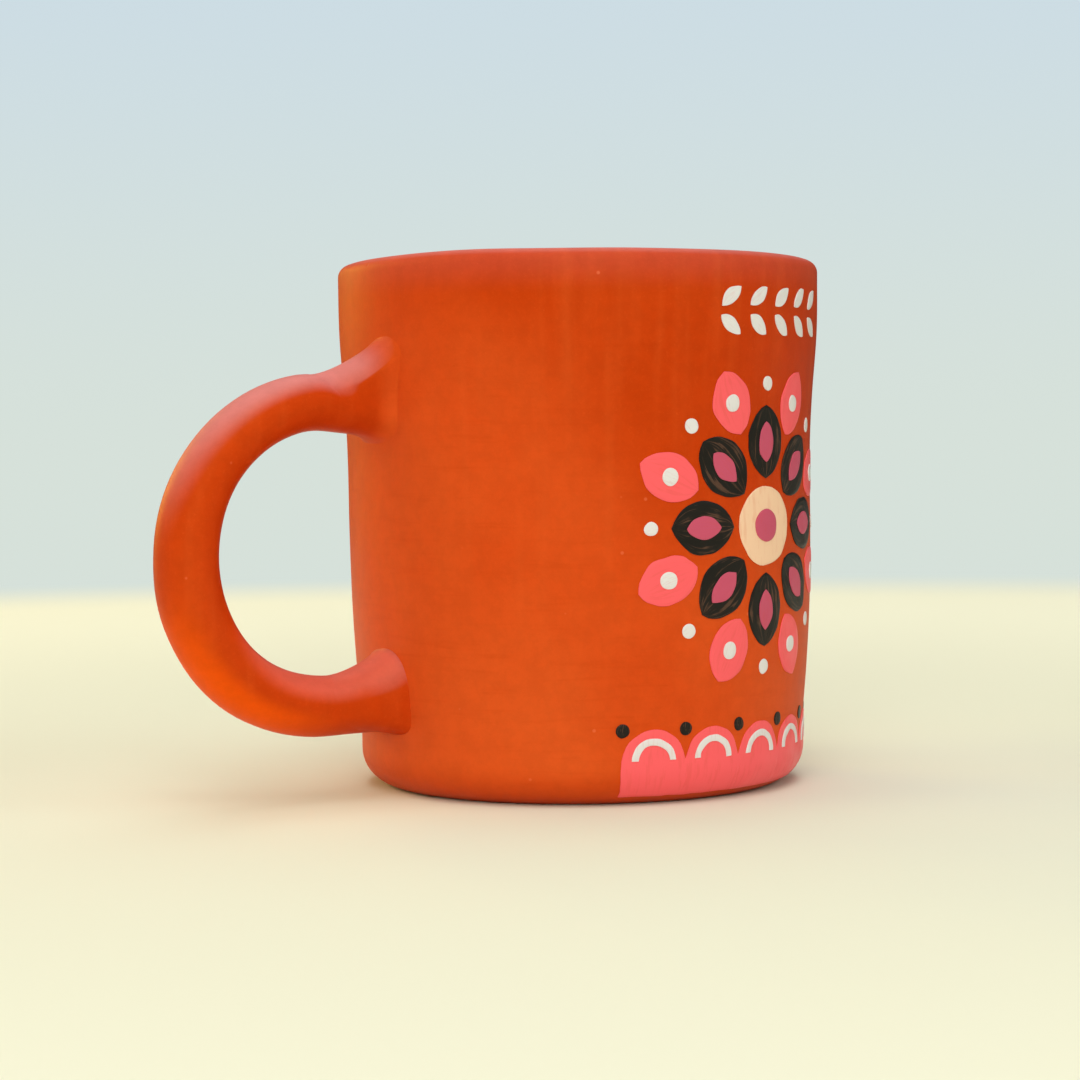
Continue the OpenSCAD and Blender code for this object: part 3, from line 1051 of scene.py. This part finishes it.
def coat_of_paint(cup, painting, name, sizes, layer, merge):
    """Gives laid shapes a brushed edge and the thickness of a coat, over the coats below it."""
    painting.name = name
    painting.data.name = name
    if merge:
        edit(painting)
        pick_all()
        bpy.ops.mesh.remove_doubles(threshold=merge)
        close()
    uneven(painting, "wobble", WOBBLE_WAVES, sizes.wobble, every_way=True)
    modify(
        painting, "seat", "SHRINKWRAP", target=cup, wrap_method="NEAREST_SURFACEPOINT",
        wrap_mode="ABOVE_SURFACE", offset=(layer - 1) * sizes.coat * COAT_RISE,
    )
    modify(painting, "coat", "SOLIDIFY", thickness=sizes.coat, offset=1)
    modify(
        painting, "edge", "BEVEL", width=sizes.coat * COAT_ROUND, segments=2, limit_method="ANGLE",
        angle_limit=EDGE_TURN,
    )
    smooth(painting, PAINT_CREASE)
    return painting


def paint_on(scene, name, node, shape, places, layer, paint, merge=0.0):
    """Paints one piece: lays its shape on the wall, gives it body and finishes it."""
    cup = bpy.data.objects["thrown_cup"]
    laid = lay_on_wall(cup, scene.mug_cup, shape, places)
    coat = coat_of_paint(cup, laid, name, scene.mug_paint, layer, merge)
    finish_piece(coat, paint_for(scene.mug_finishes, paint), node)


def ring_places(distance, copies, offset):
    """Places round the flower at a distance from its centre, with each copy's turn."""
    places = []
    for k in range(copies):
        angle = math.pi / 2 + (k + offset) * 2 * math.pi / copies
        u, z = distance * math.cos(angle), FLOWER_Z + distance * math.sin(angle)
        places.append((u, z, angle - math.pi / 2))
    return places


def paint_flower(scene):
    """Paints the core, two rings of petals, their inlays and the dots."""
    sizes = scene.mug_paint
    black_at = sizes.core_d / 2 + sizes.core_gap + sizes.black_l / 2
    pink_at = black_at + sizes.pink_offset + sizes.pink_l / 2
    dot_at = black_at + sizes.black_l / 2 + sizes.dot_gap + sizes.dot_d / 2
    middle = [(0, FLOWER_Z, 0)]
    black_ring = ring_places(black_at, sizes.petals, 0)
    pink_ring = ring_places(pink_at, sizes.petals, 0.5)
    dot_ring = ring_places(dot_at, sizes.petals, 0)
    for piece in (
        ("flower_core", "peach_core", disc(sizes.core_d), middle, 1, "peach"),
        ("flower_spot", "rose_spot", disc(sizes.spot_d), middle, 2, "rose"),
        ("black_petal_ring", "black_petals", petal(sizes.black_l, sizes.black_w), black_ring, 1, "black"),
        ("rose_inlay_ring", "rose_inlays", petal(sizes.inlay_l, sizes.inlay_w), black_ring, 2, "rose"),
        ("pink_petal_ring", "pink_petals", petal(sizes.pink_l, sizes.pink_w), pink_ring, 1, "pink"),
        ("white_eye_ring", "white_eyes", disc(sizes.eye_d), pink_ring, 2, "white"),
        ("white_dot_ring", "white_dots", disc(sizes.dot_d), dot_ring, 1, "white"),
    ):
        paint_on(scene, *piece)


def hem_tongue(sizes):
    """One scallop of the hem with the band below it, flat, its start of scallop at the origin."""
    band = sizes.hem_top - sizes.hem_base
    arch = (sizes.scallop_pitch - sizes.scallop_gap) / 2
    patch = flat_grid(sizes.scallop_pitch, band, TONGUE_COLUMNS, TONGUE_ROWS)
    edit(patch)
    for k in range(TONGUE_COLUMNS + 1):
        x = sizes.scallop_pitch * (k / TONGUE_COLUMNS - 0.5)
        rise = math.sqrt(max(0, arch**2 - x**2))
        pick_verts(patch, lambda p: near(p.x, x))
        bpy.ops.transform.resize(value=(1, 1 + rise / band, 1), center_override=(0, -band / 2, 0))
    pick_all()
    bpy.ops.transform.translate(value=(0, -band / 2, 0))
    close()
    return patch


def hem_arc(sizes):
    """The white line inside a scallop, flat, half a ring above the origin."""
    outer = (sizes.scallop_pitch - sizes.scallop_gap) / 2 - sizes.line_inset
    patch = flat_round(ARC_SIDES, outer)
    bpy.ops.mesh.inset(thickness=sizes.line_w)
    bpy.ops.mesh.delete(type="FACE")
    pick_all()
    bpy.ops.mesh.bisect(plane_co=(0, 0, 0), plane_no=(0, 1, 0), clear_inner=True)
    close()
    return patch


def paint_hem(scene):
    """Paints the scalloped hem, its white lines and the black dots above it."""
    sizes = scene.mug_paint
    first = -(sizes.scallops - 1) / 2
    along = [(first + k) * sizes.scallop_pitch for k in range(sizes.scallops)]
    tops = [(u, sizes.hem_top, 0) for u in along]
    notches = [u - sizes.scallop_pitch / 2 for u in along] + [along[-1] + sizes.scallop_pitch / 2]
    dots = [(u, sizes.hem_top + sizes.hem_dot_rise, 0) for u in notches]
    for piece in (
        ("scalloped_hem", "pink_hem", hem_tongue(sizes), tops, 1, "pink", TONGUE_WELD),
        ("hem_arc_lines", "hem_lines", hem_arc(sizes), tops, 2, "white"),
        ("hem_dot_row", "hem_dots", disc(sizes.hem_dot_d), dots, 1, "black"),
    ):
        paint_on(scene, *piece)


def paint_sprig(scene):
    """Paints the pairs of leaves under the rim."""
    sizes = scene.mug_paint
    out = (sizes.leaf_l + sizes.leaf_w) / 2
    places = []
    for k in range(sizes.leaf_pairs):
        u = (k - (sizes.leaf_pairs - 1) / 2) * sizes.leaf_pitch
        for side in (-1, 1):
            spin = -math.pi / 2 + side * sizes.leaf_lean
            places.append((u - out * math.sin(spin), SPRIG_Z + out * math.cos(spin), spin))
    leaf = petal(sizes.leaf_l, sizes.leaf_w)
    paint_on(scene, "leaf_sprig", "white_sprig", leaf, places, 1, "white")


class MUG_OT_throw_cup(Operator):
    """Throws the cup and rounds its rim, foot and floor"""

    bl_idname = "mug.throw_cup"
    bl_label = "Throw Cup"

    def execute(self, context):
        scene = context.scene
        cup = throw_cup(scene.mug_cup)
        clay = fired_clay(scene.mug_finishes, scene.mug_cup, "burnished_clay", (2 * MM, 4 * MM))
        finish_piece(cup, clay, "cup_body")
        return {"FINISHED"}


class MUG_OT_pull_handle(Operator):
    """Pulls the handle and bends it to its loop"""

    bl_idname = "mug.pull_handle"
    bl_label = "Pull Handle"

    def execute(self, context):
        scene = context.scene
        handle = pull_handle(scene.mug_handle, scene.mug_cup)
        clay = fired_clay(scene.mug_finishes, scene.mug_cup, "handle_clay", (0.0, 0.8 * MM))
        finish_piece(handle, clay, "handle")
        return {"FINISHED"}


class MUG_OT_lute_joints(Operator):
    """Smooths slip and clay round both ends of the handle"""

    bl_idname = "mug.lute_joints"
    bl_label = "Lute Joints"

    def execute(self, context):
        scene = context.scene
        sizes = scene.mug_handle
        skins = [skin_of(bpy.data.objects[name]) for name in ("thrown_cup", "pulled_handle")]
        half = sizes.thick / 2
        upper = lute_joint(
            "upper_joint",
            *skins,
            HANDLE_HIGH.z - half - sizes.droop,
            outline=dict(
                wide=7.8 * MM, spread=11.3 * MM, above=half + sizes.upper_flare, below=half + 0.5 * MM,
                upper_bows=(0.75, 0.9), lower_bow=0.7, leans=(-0.42, 0.5),
            ),
            reach=(12 * MM, 9 * MM, 4 * MM),
            leave=(0.3, 0.5, 0.5),
            land=(0.12, 0.7, 0.3),
            step=0.0,
        )
        smoothed = fired_clay(scene.mug_finishes, scene.mug_cup, "smoothed_slip", (0.2 * MM, 3 * MM))
        finish_piece(upper, smoothed, "upper_slip_joint")
        lower = lute_joint(
            "lower_joint",
            *skins,
            HANDLE_LOW.z + half,
            outline=dict(
                wide=7.4 * MM, spread=7.4 * MM, above=half + sizes.lower_flare, below=half + 0.4 * MM,
                upper_bows=(0.8, 0.8), lower_bow=0.42, leans=(-0.1, 0.1),
            ),
            reach=(11 * MM, 13 * MM, 3 * MM),
            leave=(0.45, 0.4, 0.5),
            land=(0.1, 0.02, 0.1),
            step=sizes.slip_edge,
        )
        pressed = fired_clay(scene.mug_finishes, scene.mug_cup, "pressed_slip", (-2 * MM, -1 * MM))
        finish_piece(lower, pressed, "lower_slip_joint")
        return {"FINISHED"}


class MUG_OT_paint_flower(Operator):
    """Paints the flower on the wall"""

    bl_idname = "mug.paint_flower"
    bl_label = "Paint Flower"

    def execute(self, context):
        paint_flower(context.scene)
        return {"FINISHED"}


class MUG_OT_paint_hem(Operator):
    """Paints the scalloped hem above the foot"""

    bl_idname = "mug.paint_hem"
    bl_label = "Paint Hem"

    def execute(self, context):
        paint_hem(context.scene)
        return {"FINISHED"}


class MUG_OT_paint_sprig(Operator):
    """Paints the leaf sprig below the rim"""

    bl_idname = "mug.paint_sprig"
    bl_label = "Paint Sprig"

    def execute(self, context):
        paint_sprig(context.scene)
        return {"FINISHED"}


class MUG_OT_set_stage(Operator):
    """Lays the floor, hangs the lights and places the camera"""

    bl_idname = "mug.set_stage"
    bl_label = "Set Stage"

    def execute(self, context):
        set_stage(context.scene, context.scene.mug_stage)
        return {"FINISHED"}


# The stage

FLOOR_R = 760 * MM
FLOOR_SIDES = 128
# Distances along the floor where its tone starts to pale and where it fades into the backdrop
PALE_START = 100 * MM
FADE_START = 490 * MM
FADE_END = 660 * MM
# Colour and strength of the even light from all round
SOFT_LIGHT = {"Color": (0.96, 0.98, 1.0, 1.0), "Strength": 0.186}
# Width of the camera's sensor in millimetres, and the nearest distance that it sees
SENSOR_WIDTH = 36
NEAREST = 10 * MM


def floor_material(settings):
    """Pale floor that fades into the backdrop far from the mug."""
    material, tree, shader = new_material("pale_floor")
    coords = add_node(tree, "TexCoord").outputs["Object"]
    away = add_node(tree, "VectorMath", {0: coords}, operation="LENGTH").outputs["Value"]
    paling = span(tree, away, PALE_START, FADE_START)
    pale = blend(tree, paling, opaque(settings.floor), opaque(settings.floor_far))
    set_inputs(tree, shader, {"Base Color": pale, "Roughness": 0.9, "Specular IOR Level": 0.1})
    far = add_node(tree, "Emission", {"Color": opaque(settings.backdrop), "Strength": 1.0})
    fading = span(tree, away, FADE_START, FADE_END)
    fade = add_node(tree, "MixShader", {0: fading, 1: shader.outputs[0], 2: far.outputs[0]})
    set_inputs(tree, tree.nodes["Material Output"], {"Surface": fade.outputs[0]})
    return material


def set_world(scene, settings):
    """A pale backdrop for the eye and for reflections, and an even soft light for the rest."""
    world = bpy.data.worlds.new("studio")
    world.use_nodes = True
    scene.world = world
    tree = world.node_tree
    tree.nodes.clear()
    direction = add_node(tree, "TexCoord").outputs["Generated"]
    height = add_node(tree, "SeparateXYZ", {0: direction}).outputs["Z"]
    upper = span(tree, height, -0.02, 0.2)
    sky = blend(tree, upper, opaque(settings.backdrop), opaque(settings.backdrop_top))
    mirrored = span(tree, height, 0.15, 0.85, 0.08, 1.0)
    rays = add_node(tree, "LightPath").outputs
    level = maths(tree, "MAXIMUM", rays["Is Camera Ray"], mirrored)
    seen = add_node(tree, "Background", {"Color": sky, "Strength": level}, name="seen")
    soft = add_node(tree, "Background", SOFT_LIGHT, name="soft")
    shown = maths(
        tree, "MAXIMUM", rays["Is Camera Ray"], rays["Is Glossy Ray"], rays["Is Transmission Ray"]
    )
    both = add_node(tree, "MixShader", {0: shown, 1: soft.outputs[0], 2: seen.outputs[0]})
    add_node(tree, "OutputWorld", {"Surface": both.outputs[0]})


def area_light(name, place, aim, size, power, tint):
    """A soft panel of light that faces a point."""
    bpy.ops.object.light_add(type="AREA", location=place)
    lamp = bpy.context.object
    lamp.name = name
    lamp.data.shape = "DISK"
    lamp.data.size = size
    lamp.data.energy = power
    lamp.data.color = tint
    lamp.rotation_euler = (aim - place).to_track_quat("-Z", "Y").to_euler()


# Lamps: metres towards the camera, to its right and up; size across, power and tint
LAMPS = {
    "key": (1.2, 0.0, 1.6, 1.2, 9.8, (1.0, 1.0, 0.98)),
    "low": (1.8, 0.0, 0.7, 1.0, 14.4, (1.0, 1.0, 1.0)),
    "overhead": (0.1, 0.0, 1.9, 1.4, 10.0, (1.0, 1.0, 1.0)),
    "back": (-1.0, 0.0, 1.7, 1.4, 6.0, (1.0, 1.0, 1.0)),
    "left": (0.2, -1.7, 0.8, 1.1, 7.4, (1.0, 0.84, 0.38)),
    "left_back": (-1.25, -1.35, 0.5, 0.9, 10.5, (1.0, 0.66, 0.10)),
    "right": (0.5, 1.6, 0.9, 1.1, 5.2, (1.0, 1.0, 1.0)),
}


def set_stage(scene, settings):
    """Lays the floor, hangs the lights and sets up the camera."""
    bpy.ops.mesh.primitive_circle_add(vertices=FLOOR_SIDES, radius=FLOOR_R, fill_type="NGON")
    floor = named("floor")
    floor.data.materials.append(floor_material(settings))
    set_world(scene, settings)
    turn = settings.camera_turn
    towards = Vector((math.sin(turn), -math.cos(turn), 0))
    right = Vector((math.cos(turn), math.sin(turn), 0))
    for name, (front, beside, high, size, power, tint) in LAMPS.items():
        place = front * towards + beside * right + high * UP
        area_light(name, place, UP * CUP_HIGH.z / 2, size, power, tint)

    place = towards * settings.camera_distance + UP * settings.camera_height
    tilt = math.pi / 2 - settings.camera_pitch
    heading = turn + settings.camera_yaw
    bpy.ops.object.camera_add(location=place, rotation=(tilt, settings.camera_roll, heading))
    camera = bpy.context.object
    camera.data.lens = settings.lens
    camera.data.sensor_width = SENSOR_WIDTH
    camera.data.clip_start = NEAREST
    scene.camera = camera
    scene.view_settings.view_transform = "Standard"


SETTINGS = (
    ("mug_cup", CupSizes),
    ("mug_handle", HandleSizes),
    ("mug_paint", PaintSizes),
    ("mug_finishes", Finishes),
    ("mug_stage", StageSettings),
)
STEPS = (
    MUG_OT_throw_cup,
    MUG_OT_pull_handle,
    MUG_OT_lute_joints,
    MUG_OT_paint_flower,
    MUG_OT_paint_hem,
    MUG_OT_paint_sprig,
    MUG_OT_set_stage,
)


class MUG_PT_workshop(Panel):
    """Lists the steps that make the mug"""

    bl_label = "Clay Mug"
    bl_idname = "MUG_PT_workshop"
    bl_space_type = "VIEW_3D"
    bl_region_type = "UI"
    bl_category = "Clay Mug"

    def draw(self, context):
        for step in STEPS:
            self.layout.operator(step.bl_idname)


def register():
    for name, group in SETTINGS:
        bpy.utils.register_class(group)
        setattr(bpy.types.Scene, name, PointerProperty(type=group))
    for step in STEPS:
        bpy.utils.register_class(step)
    bpy.utils.register_class(MUG_PT_workshop)


def unregister():
    bpy.utils.unregister_class(MUG_PT_workshop)
    for step in reversed(STEPS):
        bpy.utils.unregister_class(step)
    for name, group in reversed(SETTINGS):
        delattr(bpy.types.Scene, name)
        bpy.utils.unregister_class(group)


def main():
    register()
    bpy.ops.mug.throw_cup()
    bpy.ops.mug.pull_handle()
    bpy.ops.mug.lute_joints()
    bpy.ops.mug.paint_flower()
    bpy.ops.mug.paint_hem()
    bpy.ops.mug.paint_sprig()
    bpy.ops.mug.set_stage()


if __name__ == "__main__":
    main()
